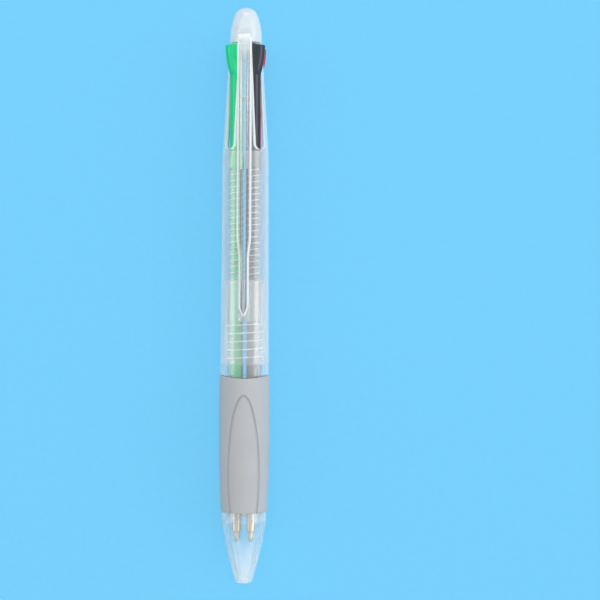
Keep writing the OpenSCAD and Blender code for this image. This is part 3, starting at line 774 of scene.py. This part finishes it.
# Turned nickel silver: bright and slightly warm, with fine tool marks round it. The marks are
# drawn a tenth of a millimetre apart, coarser than the real ones, so that they show.
nickel, nickel_tree = start_material("turned_nickel_silver")
nickel_place = add_node(nickel_tree, "ShaderNodeTexCoord", {})
nickel_axis = add_node(nickel_tree, "ShaderNodeMapping", {
    "Vector": nickel_place.outputs["Object"], "Scale": (1 / (3 * MM), 1 / (0.1 * MM), 1 / (3 * MM))})
nickel_marks = add_node(nickel_tree, "ShaderNodeTexNoise", {
    "Vector": nickel_axis.outputs["Vector"], "Scale": 1, "Detail": 1})
nickel_shade = add_node(nickel_tree, "ShaderNodeValToRGB", {"Fac": nickel_marks.outputs["Fac"]})
nickel_shade.color_ramp.elements[0].color = pigment("CDBBA2")
nickel_shade.color_ramp.elements[1].color = pigment("F4E8D6")
nickel_cut = add_node(nickel_tree, "ShaderNodeBump", {
    "Height": nickel_marks.outputs["Fac"], "Strength": 0.2, "Distance": 0.01 * MM})
nickel_skin = add_node(nickel_tree, "ShaderNodeBsdfPrincipled", {
    "Base Color": nickel_shade.outputs["Color"], "Metallic": 1, "Roughness": 0.1,
    "Normal": nickel_cut.outputs["Normal"]})
add_node(nickel_tree, "ShaderNodeOutputMaterial", {"Surface": nickel_skin.outputs["BSDF"]})

point_outline = ease([
    (0, BALL_AT + BALL_R + 0.05), (0.25, BALL_AT + BALL_R), (BALL_R + 0.03, BALL_AT + 0.05),
    (BALL_R - 0.01, BALL_AT - 0.2), (BALL_R + 0.02, BALL_AT - 0.21), (BALL_R + 0.09, BALL_AT + 0.25),
    (0.62, POINT_FOOT + 1.9), (0.66, POINT_FOOT + 2.3), (POINT_R, POINT_FOOT + 2.9),
    (POINT_R, NECK_FOOT - 1.3), (POINT_R - RECESS_DEPTH, NECK_FOOT - 1.2),
    (POINT_R - RECESS_DEPTH, NECK_FOOT - 0.9), (POINT_R, NECK_FOOT - 0.8), (POINT_R, NECK_FOOT),
    (PLUG_R, NECK_FOOT), (PLUG_R, NECK_FOOT + PLUG_LENGTH), (0, NECK_FOOT + PLUG_LENGTH)], size=0.06)
for colour, turn in COLOUR_TURNS.items():
    point_points, point_faces = turn_outline(point_outline, sides=48, place=on_refill(turn))
    point = make_piece(colour + "_metal_point", point_points, point_faces, nickel)
    fit(point, colour + "_refill", "point_metal", colour + "_point")


# Writing balls: tungsten carbide beads, ground round, that sit loose in the lips of the points.
# They are a dull dark silver, with a grit that is drawn a twelfth of a millimetre wide to show.
def clouded_metal(name, patch, dark, pale, roughness):
    """Bare metal whose shade is clouded in patches of a size in millimetres."""
    material, tree = start_material(name)
    place = add_node(tree, "ShaderNodeTexCoord", {})
    cloud = add_node(tree, "ShaderNodeTexNoise", {
        "Vector": place.outputs["Object"], "Scale": 1 / (patch * MM), "Detail": 2})
    shade = add_node(tree, "ShaderNodeValToRGB", {"Fac": cloud.outputs["Fac"]})
    shade.color_ramp.elements[0].color = pigment(dark)
    shade.color_ramp.elements[1].color = pigment(pale)
    skin = add_node(tree, "ShaderNodeBsdfPrincipled", {
        "Base Color": shade.outputs["Color"], "Metallic": 1, "Roughness": roughness})
    add_node(tree, "ShaderNodeOutputMaterial", {"Surface": skin.outputs["BSDF"]})
    return material


carbide = clouded_metal("ground_tungsten_carbide", 0.08, "8A8C90", "A6A8AC", roughness=0.25)
for colour in COLOUR_TURNS:
    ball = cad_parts[colour + "_ball"]
    ball.data.materials.clear()
    ball.data.materials.append(carbide)


# Springs: one wound steel wire round each tube, from the guide up to the head of the refill. As a
# slider goes down, its spring is pressed together against the guide.
WIRE_R = 0.165
COIL_R = 1.585
COIL_TURNS = 18
COIL_LOW = GUIDE_TOP + 0.05
COIL_HIGH = HEAD_AT - 0.05

# Drawn spring steel: a pale satin shine, clouded a little by the drawing in patches a fifth of a
# millimetre wide.
steel = clouded_metal("bright_drawn_spring_steel", 0.2, "EEEFF1", "FAFAFB", roughness=0.45)


def wound_wire(place):
    """Points and faces of a round wire wound up a refill's axis, closed at its ends."""
    per_turn = 28
    sides = 8
    steps = per_turn * COIL_TURNS
    low = COIL_LOW + WIRE_R
    rise = (COIL_HIGH - COIL_LOW - 2 * WIRE_R) / steps
    points = []
    for i in range(steps + 1):
        turn = 360 * i / per_turn
        for k in range(sides):
            a = math.radians(360 * k / sides)
            points.append(place(COIL_R + WIRE_R * math.cos(a), turn, low + rise * i + WIRE_R * math.sin(a)))
    return points, loft_faces(steps + 1, sides)


for colour, turn in COLOUR_TURNS.items():
    spring = make_piece(colour + "_wound_spring", *wound_wire(on_refill(turn)), steel, crease=60)
    fit(spring, colour + "_refill", "spring_steel", colour + "_spring")
    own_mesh(spring)


# Latch core: a clear post down the middle, whose thick head ends in a ledge. A pushed slider
# catches under the ledge. A peg on top plugs into the dome.
CORE_FOOT = 107.4
LEDGE_AT = 122
CORE_POST_R = 1.4
CORE_HEAD_R = 2.6
CORE_PEG_R = 2.05
CORE_PEG_TOP = 142.4
CHANNEL_HALF = 26
CHANNEL_WALL = 5
CHANNEL_DEPTH = 0.5
LEDGE_LIP = 0.65
core_clear = clear_styrene("clear_styrene_core", haze=0.02, rim_haze=0.3, waviness=0.1)


def core_channel(radius, height, turn):
    """The core's radius, less the four shallow channels in its head that the sliders pass along."""
    if radius < CORE_HEAD_R - 0.2 or not LEDGE_AT + 0.1 < height < CAP_AT - 0.1:
        return radius
    off = min(abs((turn - centre + 180) % 360 - 180) for centre in COLOUR_TURNS.values())
    return radius - CHANNEL_DEPTH * soft_step((CHANNEL_HALF - off) / CHANNEL_WALL)


core_outline = ease([
    (0, CORE_FOOT), (CORE_POST_R, CORE_FOOT), (CORE_POST_R, LEDGE_AT), (CORE_HEAD_R, LEDGE_AT),
    (CORE_HEAD_R, LEDGE_AT + 0.6), (CORE_HEAD_R, LEDGE_AT + 1), (CORE_HEAD_R, CAP_AT - 1),
    (CORE_HEAD_R, CAP_AT - 0.6), (CORE_HEAD_R, CAP_AT), (CORE_PEG_R, CAP_AT),
    (CORE_PEG_R, CORE_PEG_TOP - 1.6), (CORE_PEG_R - 0.35, CORE_PEG_TOP - 0.65),
    (CORE_PEG_R - 1.1, CORE_PEG_TOP - 0.12), (0, CORE_PEG_TOP)], size=0.4, steps=6)
core_points, core_faces = turn_outline(core_outline, sides=180, shape=core_channel)
# The ledge's faces get the painted edge highlight.
ledge = set()
for number, face in enumerate(core_faces):
    reaches, turns, heights = zip(*(pen_place(core_points[i]) for i in face))
    on_ledge = min(heights) > LEDGE_AT - 0.01 and max(heights) < LEDGE_AT + LEDGE_LIP
    if on_ledge and max(reaches) > CORE_POST_R + 0.1:
        ledge.add(number)
latch_core = make_piece("latch_core_post", core_points, core_faces, core_clear,
                        finishes=[(painted_edge_highlight, ledge)])
fit(latch_core, "pen_body", "clear_plastic", "latch_core")


# End cap: a clear dome moulded in one with the pocket clip; four tongues under it plug into the
# barrel's neck. The clip sweeps out of the dome down to a pointed tip, with a bump under it that
# grips the cloth, and a lengthwise groove whose hazy walls are painted dark grey as painted shade.
# The clip's flanks are painted milky white as a painted highlight.
DOME_SKIRT = 1
DOME_CROWN_R = 3.2
PEG_HOLE_R = 2.07
PEG_HOLE_TOP = 142.5
TONGUE_IN = 2.62
TONGUE_OUT = 3.21
TONGUE_FOOT = 131.5
GAP_IN = 1.4
GAP_OUT = 9
CLIP_IN = 7
CLIP_OUT = 8.1
BUMP_IN = 6.2
CLIP_TIP = 67.3
BUMP_END = 87.3
BUMP_SLOPE = 6
STRAP_STEP = 8
BUMP_STEP = 0.5
BEND_AT = 135.8
BEND_OUT = 4.7
BEND_R = 3.4
CLIP_HALF_W = 1.85
TIP_HALF_W = 1.325
BLUNT_HALF_W = 0.44
POINT_LENGTH = 3
ROOT_SWEEP = ((2.4, 143.5), (3.6, 141.2), (8.1, 138.8), (8.1, 135.2))
ROOT_TAPER = 0.9
ROOT_STEPS = 24
INNER_START = 0.3
FLANKS_FROM = 20
STRAP_ROUND_R = 0.5
CORNER_POINTS = 6
GROOVE_OUT = 1.2
GROOVE_IN = 0.35
GROOVE_DEPTH = 0.38
GROOVE_STEPS = 8
GROOVE_FADE_TOP = 3
GROOVE_FADE_TIP = 6
PAINTED_SHADE_FROM = 27
PAINTED_SHADE_WALLS = (3, 4, 5, 6, 12, 13, 14, 15)

flank_h = PEN_LENGTH - CAP_AT - DOME_SKIRT - DOME_CROWN_R
flank_r = (CAP_R ** 2 + flank_h ** 2 - DOME_CROWN_R ** 2) / (2 * (CAP_R - DOME_CROWN_R))
meet = math.atan2(flank_h, flank_r - CAP_R)
dome_outline = [(PEG_HOLE_R, PEG_HOLE_TOP - 1.58), (PEG_HOLE_R, CAP_AT), (CAP_R, CAP_AT),
                (CAP_R, CAP_AT + DOME_SKIRT)]
for i in range(1, 13):
    a = meet * i / 12
    dome_outline.append((CAP_R - flank_r + flank_r * math.cos(a),
                         CAP_AT + DOME_SKIRT + flank_r * math.sin(a)))
for i in range(1, 17):
    a = meet + (math.pi / 2 - meet) * i / 16
    radius = DOME_CROWN_R * math.cos(a) if i < 16 else 0
    dome_outline.append((radius, PEN_LENGTH - DOME_CROWN_R + DOME_CROWN_R * math.sin(a)))
dome_outline += [(0, PEG_HOLE_TOP), (PEG_HOLE_R - 1.1, PEG_HOLE_TOP - 0.1),
                 (PEG_HOLE_R - 0.35, PEG_HOLE_TOP - 0.63)]
cap_clear = clear_styrene("clear_styrene_cap", haze=0.55, rim_haze=0.3, waviness=0.2)
clip_clear = clear_styrene("clear_styrene_clip", haze=0.55, rim_haze=0.3, waviness=0.1,
                           foot_haze=0.03, foot=132, top=139)
# Hazy groove walls in a dark grey tone: painted shade for the dark lines seen down the clip.
groove_painted_shade = clear_styrene("clear_styrene_groove_painted_shade", haze=0.45, rim_haze=0.1, waviness=0.3,
                             tone="75787A")
dome_points, dome_faces = turn_outline(ease(dome_outline, SOFT_EDGE), sides=128)
end_cap = make_piece("end_cap_dome", dome_points, dome_faces, cap_clear)

tongue_outline = ease([(TONGUE_IN, TONGUE_FOOT), (TONGUE_OUT, TONGUE_FOOT), (TONGUE_OUT, CAP_AT + 0.5),
                       (TONGUE_IN, CAP_AT + 0.5)], size=0.1)
tongues = make_piece("end_cap_tongues", *turn_outline(tongue_outline, sides=96), clip_clear)
gap_outline = [(GAP_IN, -SLOT_W / 2), (GAP_OUT, -SLOT_W / 2), (GAP_OUT, SLOT_W / 2), (GAP_IN, SLOT_W / 2)]
tongue_gaps = slot_tools("tongue_gap", gap_outline, TONGUE_FOOT - 1, CAP_AT, clip_clear)
combine(tongues, tongue_gaps, "DIFFERENCE")


def clip_stations():
    """Along the clip, root to tip: inner and outer place in side view, and half the width."""
    stations = []
    thin = BEND_R - CLIP_OUT + CLIP_IN
    for i in range(ROOT_STEPS + 1):
        t = i / ROOT_STEPS
        shares = ((1 - t) ** 3, 3 * t * (1 - t) ** 2, 3 * t * t * (1 - t), t ** 3)
        outer = sum((Vector(spot) * share for spot, share in zip(ROOT_SWEEP, shares)), Vector((0, 0)))
        a = math.radians(90 - 90 * min(1, max(0, (t - INNER_START) / (1 - INNER_START))))
        inner = (BEND_OUT + thin * math.cos(a) - max(0, INNER_START - t) * 8, BEND_AT + thin * math.sin(a))
        stations.append((inner, tuple(outer), CLIP_HALF_W - ROOT_TAPER * (1 - t) ** 2))
    heights = [BEND_AT - STRAP_STEP * i for i in range(1, 6)]
    heights += [BUMP_END + 3 - BUMP_STEP * i for i in range(47)]
    for height in heights:
        from_tip = height - CLIP_TIP
        slope = (BUMP_END - height) / BUMP_SLOPE
        inner = CLIP_IN - (CLIP_IN - BUMP_IN) * soft_step(min(slope, from_tip / BUMP_SLOPE))
        half = CLIP_HALF_W + (TIP_HALF_W - CLIP_HALF_W) * soft_step(slope)
        if from_tip < POINT_LENGTH:
            swell = math.sin(math.pi / 2 * max(from_tip, 0.03) / POINT_LENGTH)
            half = BLUNT_HALF_W + (TIP_HALF_W - BLUNT_HALF_W) * swell
        stations.append(((inner, height), (CLIP_OUT, height), half))
    return stations


def clip_strap(name, material):
    """The clip lofted through its stations, each a rectangle with round corners and a groove."""
    groove = []
    for i in range(GROOVE_STEPS + 1):
        t = i / GROOVE_STEPS
        groove.append((GROOVE_OUT + (GROOVE_IN - GROOVE_OUT) * t, soft_step(t)))
    groove = [(-side, share) for side, share in groove] + list(reversed(groove))
    points = []
    stations = clip_stations()
    for inner, outer, half in stations:
        inner = Vector(inner)
        across = Vector(outer) - inner
        thick = across.length
        across.normalize()
        corner = min(STRAP_ROUND_R, 0.45 * thick, 0.9 * half)
        for middle_side, middle_out, start in (
                (half - corner, thick - corner, 0), (-half + corner, thick - corner, 90),
                (-half + corner, corner, 180), (half - corner, corner, 270)):
            for k in range(CORNER_POINTS):
                a = math.radians(start + 90 * k / (CORNER_POINTS - 1))
                side = middle_side + corner * math.cos(a)
                spot = inner + across * (middle_out + corner * math.sin(a))
                points.append(on_pen(spot.x, CLIP_TURN, spot.y, side))
            if start == 180:
                fade = min(1, max(0, (BEND_AT - inner.y) / GROOVE_FADE_TOP),
                           max(0, (inner.y - CLIP_TIP - POINT_LENGTH) / GROOVE_FADE_TIP))
                for side, share in groove:
                    spot = inner + across * GROOVE_DEPTH * share * fade
                    points.append(on_pen(spot.x, CLIP_TURN, spot.y, side * min(1, half / CLIP_HALF_W)))
    count = 4 * CORNER_POINTS + len(groove)
    top = CORNER_POINTS - 1
    under = 3 * CORNER_POINTS - 1
    faces = loft_faces(len(stations), count)
    # The clip's flanks and tip end get the painted edge highlight.
    painted_flank_highlights = {1}
    painted_shade_faces = set()
    for number in range(2, len(faces)):
        i, k = divmod(number - 2, count)
        if i > FLANKS_FROM and k != top and not under <= k <= under + len(groove):
            painted_flank_highlights.add(number)
        # Groove walls past the root get the painted shade.
        if i > PAINTED_SHADE_FROM and k - under in PAINTED_SHADE_WALLS:
            painted_shade_faces.add(number)
    return make_piece(name, points, faces, material, finishes=[(painted_edge_highlight, painted_flank_highlights), (groove_painted_shade, painted_shade_faces)])


clip = clip_strap("pocket_clip_strap", clip_clear)
combine(end_cap, [tongues, clip], "UNION")
fit(end_cap, "pen_body", "clear_plastic", "end_cap")


# Table: one wide sheet of pale blue card under the pen, with the slight tooth of paper. To the eye,
# and through clear plastic, it mostly shows its own colour, so that its tone stays even.
FLOOR_HALF = 2.5
GLOW_SHARE = 0.75
card, card_tree = start_material("pale_blue_card")
card_place = add_node(card_tree, "ShaderNodeTexCoord", {})
card_tooth = add_node(card_tree, "ShaderNodeTexNoise", {
    "Vector": card_place.outputs["Object"], "Scale": 1 / (1.5 * MM), "Detail": 3})
card_shade = add_node(card_tree, "ShaderNodeValToRGB", {"Fac": card_tooth.outputs["Fac"]})
card_shade.color_ramp.elements[0].color = pigment("77CFFC")
card_shade.color_ramp.elements[1].color = pigment("7BD4FF")
card_skin = add_node(card_tree, "ShaderNodeBsdfPrincipled", {
    "Base Color": card_shade.outputs["Color"], "Roughness": 0.9, "Specular IOR Level": 0.1})
card_glow = add_node(card_tree, "ShaderNodeEmission", {"Color": card_shade.outputs["Color"], "Strength": 1})
card_ray = add_node(card_tree, "ShaderNodeLightPath", {})
card_seen = add_node(card_tree, "ShaderNodeMath", {
    0: card_ray.outputs["Is Camera Ray"], 1: card_ray.outputs["Is Glossy Ray"]}, operation="MAXIMUM")
card_shown = add_node(card_tree, "ShaderNodeMath", {
    0: card_seen.outputs["Value"], 1: card_ray.outputs["Is Transmission Ray"]}, operation="MAXIMUM")
card_share = add_node(card_tree, "ShaderNodeMath", {
    0: card_shown.outputs["Value"], 1: GLOW_SHARE}, operation="MULTIPLY")
card_face = add_node(card_tree, "ShaderNodeMixShader", {
    0: card_share.outputs["Value"], 1: card_skin.outputs["BSDF"], 2: card_glow.outputs["Emission"]})
add_node(card_tree, "ShaderNodeOutputMaterial", {"Surface": card_face.outputs["Shader"]})
floor_mesh = bpy.data.meshes.new("table_card")
floor_mesh.from_pydata(
    [(-FLOOR_HALF, -FLOOR_HALF, 0), (FLOOR_HALF, -FLOOR_HALF, 0), (FLOOR_HALF, FLOOR_HALF, 0),
     (-FLOOR_HALF, FLOOR_HALF, 0)], [], [(0, 1, 2, 3)])
floor_mesh.materials.append(card)
floor = bpy.data.objects.new("table_card", floor_mesh)
bpy.context.scene.collection.objects.link(floor)


# Studio light: wide soft lamps to the right and left and one beyond the dome, in a pale room that
# is brighter overhead and on the right.
BRIGHT_SIDE = (0.6, 0, 0.8)
ROOM_SLOPE = 0.45
ROOM_LEVEL = 0.47
room = bpy.data.worlds.new("pale_room")
room.use_nodes = True
room.node_tree.nodes.clear()
room_place = add_node(room.node_tree, "ShaderNodeTexCoord", {})
room_side = add_node(room.node_tree, "ShaderNodeVectorMath", {
    0: room_place.outputs["Generated"], 1: BRIGHT_SIDE}, operation="DOT_PRODUCT")
room_rise = add_node(room.node_tree, "ShaderNodeMath", {
    0: room_side.outputs["Value"], 1: ROOM_SLOPE, 2: ROOM_LEVEL}, operation="MULTIPLY_ADD", use_clamp=True)
room_light = add_node(room.node_tree, "ShaderNodeBackground", {
    "Color": pigment("FAFBFC"), "Strength": room_rise.outputs["Value"]})
add_node(room.node_tree, "ShaderNodeOutputWorld", {"Surface": room_light.outputs["Background"]})
bpy.context.scene.world = room


def soft_lamp(name, place, length, height, power):
    """A rectangular lamp that faces the middle of the pen."""
    lamp = bpy.data.lights.new(name, "AREA")
    lamp.shape = "RECTANGLE"
    lamp.size = length
    lamp.size_y = height
    lamp.energy = power
    stand = bpy.data.objects.new(name, lamp)
    stand.location = place
    stand.rotation_euler = (-Vector(place)).to_track_quat("-Z", "Y").to_euler()
    stand.visible_camera = False
    bpy.context.scene.collection.objects.link(stand)


soft_lamp("right_softbox", (0.9, 0, 0.44), length=0.9, height=0.45, power=2.1)
soft_lamp("left_softbox", (-0.9, 0, 0.44), length=0.9, height=0.45, power=1.85)
soft_lamp("end_softbox", (0.08, 0.76, 0.65), length=0.6, height=0.5, power=1.8)


# Camera: nearly straight above the pen, a little to its right, with a long lens.
CAMERA_REACH = 445
CAMERA_ALONG = -1.14
CAMERA_SWING = 2.7
CAMERA_AIM = 0.91
CAMERA_ROLL = 0.26
FOCAL_LENGTH = 105.8
camera_data = bpy.data.cameras.new("camera")
camera_data.lens = FOCAL_LENGTH
camera_data.sensor_width = 36
camera_data.clip_start = 0.01
camera_data.clip_end = 20
camera = bpy.data.objects.new("camera", camera_data)
swing = math.radians(CAMERA_SWING)
camera_place = Matrix.Translation((
    CAMERA_REACH * math.sin(swing) * MM, CAMERA_ALONG * MM,
    (AXIS_HEIGHT + CAMERA_REACH * math.cos(swing)) * MM))
camera.matrix_world = (camera_place @ Matrix.Rotation(math.radians(CAMERA_AIM), 4, "Y")
                       @ Matrix.Rotation(math.radians(CAMERA_ROLL), 4, "Z"))
bpy.context.scene.collection.objects.link(camera)
bpy.context.scene.camera = camera

bpy.context.scene.view_settings.view_transform = "Standard"
bpy.context.scene.cycles.use_denoising = True
bpy.context.scene.cycles.max_bounces = 24
bpy.context.scene.cycles.transmission_bounces = 24
bpy.context.scene.cycles.transparent_max_bounces = 24
bpy.context.scene.cycles.caustics_reflective = True
bpy.context.scene.cycles.caustics_refractive = True
